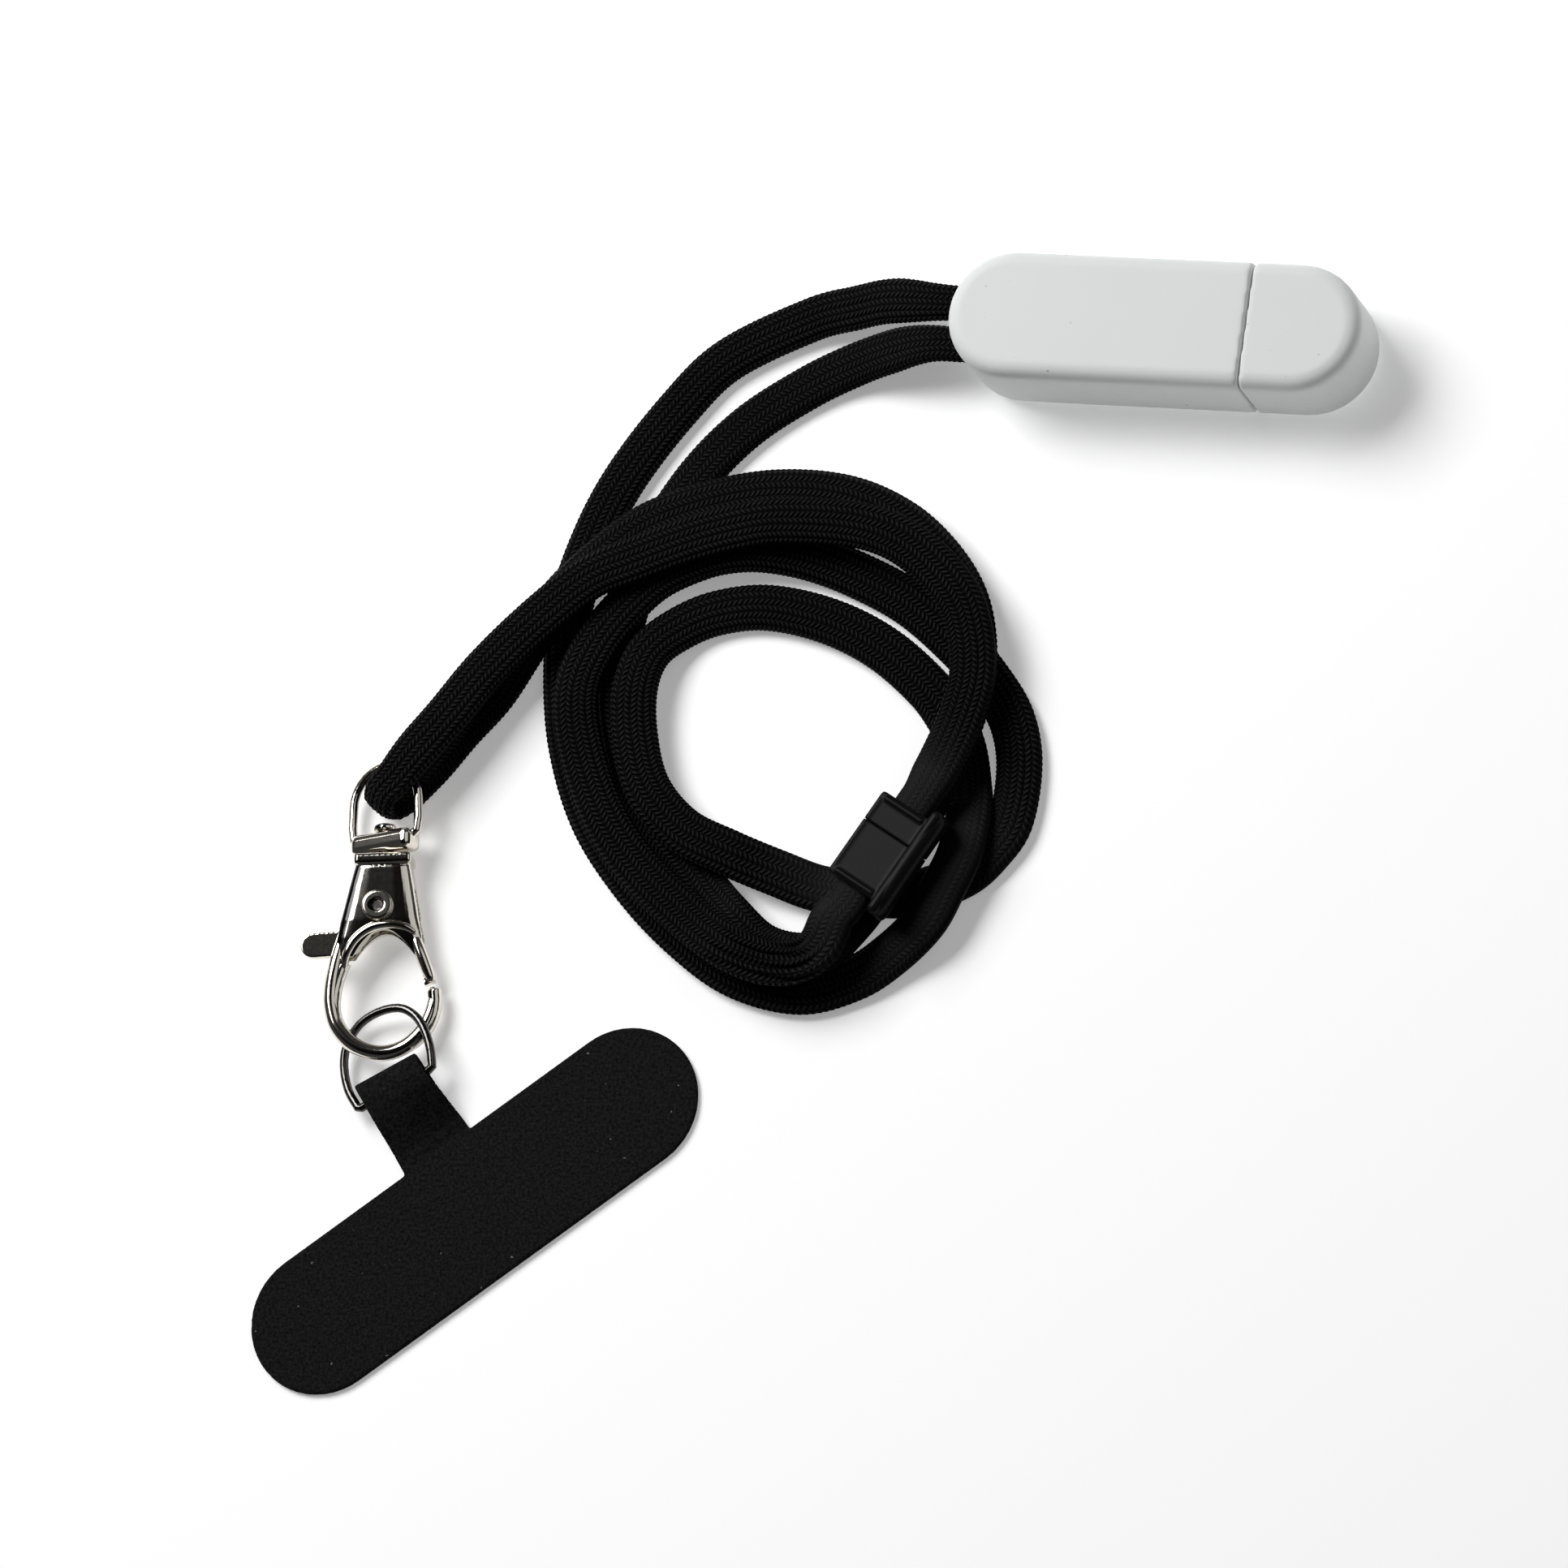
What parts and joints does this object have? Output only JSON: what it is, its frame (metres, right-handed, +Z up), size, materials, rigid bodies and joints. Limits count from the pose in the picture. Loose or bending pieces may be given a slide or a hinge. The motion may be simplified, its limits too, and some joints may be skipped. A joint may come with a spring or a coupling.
{
  "type": "phone crossbody strap",
  "caption": "Flat braided black strap lying in loops, with a breakaway buckle, a swivel snap hook and tether card for a phone, and a white capsule housing with a pull-off cap.",
  "frame": {"origin": "bottom centre of the hard pieces' box, on the surface that the strap lies on", "axes": "+Z up from the surface; +X to the right and +Y away, as the picture shows the strap from above"},
  "size_m": [0.1873, 0.1864, 0.016],
  "materials": {
    "housing_body": "fine matte, light grey-white",
    "housing_cap": "fine matte, light grey-white",
    "strap_long": "black herringbone braid",
    "strap_short": "black herringbone braid",
    "buckle_socket": "satin black",
    "buckle_plug": "satin black",
    "swivel_eye": "polished warm nickel",
    "hook_body": "polished warm nickel",
    "hook_rivet": "polished warm nickel",
    "hook_trigger": "polished warm nickel",
    "d_ring": "polished black nickel",
    "card": "black fine-grained coated cloth"
  },
  "bodies": {
    "strap_set": {"housing_body": "housing_body", "strap_long": "strap_long", "strap_short": "strap_short", "buckle_socket": "buckle_socket", "buckle_plug": "buckle_plug", "swivel_eye": "swivel_eye"},
    "cap": {"housing_cap": "housing_cap"},
    "hook": {"hook_body": "hook_body", "hook_rivet": "hook_rivet", "d_ring": "d_ring", "card": "card"},
    "trigger": {"hook_trigger": "hook_trigger"}
  },
  "joints": [
    {"name": "cap_slide", "type": "slide", "parent": "strap_set", "child": "cap", "axis": [0.9942, -0.108, 0], "range_m": [0, 0.02]},
    {"name": "hook_swivel", "type": "hinge", "parent": "strap_set", "child": "hook", "pos_m": [-0.0735, -0.0027, 0.0042], "axis": [-0.0454, 0.999, 0], "continuous": true},
    {"name": "trigger_pivot", "type": "hinge", "parent": "hook", "child": "trigger", "pos_m": [-0.07377, -0.01192, 0.00432], "axis": [-0.1735, -0.0079, -0.9848], "range_deg": [0, 14], "stiffness_Nm_per_rad": 0.002}
  ]
}
